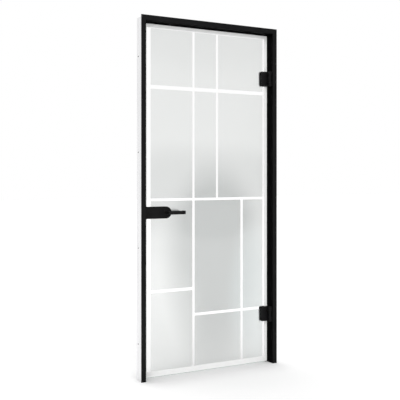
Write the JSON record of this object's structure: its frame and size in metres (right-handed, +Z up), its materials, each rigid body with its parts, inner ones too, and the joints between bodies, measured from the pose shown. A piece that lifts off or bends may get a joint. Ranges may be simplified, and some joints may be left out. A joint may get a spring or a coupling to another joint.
{
  "type": "framed all-glass interior door",
  "caption": "Frosted all-glass door leaf with clear line pattern on two clamp hinges, with a D-shaped lock and levers, in a slim black aluminium wall frame.",
  "frame": {"origin": "at floor level, on the hinge jamb's wall side, where the flange's back meets it", "axes": "+Z up, +X along the width from the lock side to the hinge side, +Y into the wall; the leaf opens towards -Y"},
  "size_m": [0.906, 0.138, 2.014],
  "materials": {
    "black_frame_aluminium": "fine matt black powder coat",
    "black_fittings": "matt black coating",
    "black_rubber": "soft extruded rubber",
    "frosted_glass": "satin fields between clear lines",
    "steel": "zinc plated"
  },
  "bodies": {
    "frame": {"latch_jamb": "black_frame_aluminium", "hinge_jamb": "black_frame_aluminium", "head_rail": "black_frame_aluminium", "latch_side_seal": "black_rubber", "hinge_side_seal": "black_rubber", "head_seal": "black_rubber", "strike_plate": "black_fittings", "upper_hinge_frame_leaf": "black_fittings", "lower_hinge_frame_leaf": "black_fittings", "upper_hinge_pin": "black_fittings", "lower_hinge_pin": "black_fittings"},
    "leaf": {"glass_pane": "frosted_glass", "upper_clamp_front": "black_fittings", "lower_clamp_front": "black_fittings", "upper_clamp_rear": "black_fittings", "lower_clamp_rear": "black_fittings", "upper_front_gasket": "black_rubber", "lower_front_gasket": "black_rubber", "upper_rear_gasket": "black_rubber", "lower_rear_gasket": "black_rubber", "upper_clamp_screws": "steel", "lower_clamp_screws": "steel", "lock_case_front": "black_fittings", "lock_case_rear": "black_fittings", "lock_front_gasket": "black_rubber", "lock_rear_gasket": "black_rubber", "lock_body": "steel", "latch_bolt": "steel", "lock_screws": "steel", "front_lever_collar": "black_fittings", "rear_lever_collar": "black_fittings"},
    "handle": {"front_lever": "black_fittings", "rear_lever": "black_fittings", "spindle": "steel"}
  },
  "joints": [
    {"name": "leaf_swing", "type": "hinge", "parent": "frame", "child": "leaf", "pos_m": [-0.03, 0.015, 1.005], "axis": [0, 0, 1], "range_deg": [0, 90]},
    {"name": "lever_turn", "type": "hinge", "parent": "leaf", "child": "handle", "pos_m": [-0.723, 0.053, 0.924], "axis": [0, 1, 0], "range_deg": [0, 40], "stiffness_Nm_per_rad": 1.2, "springref_deg": -20.05}
  ]
}
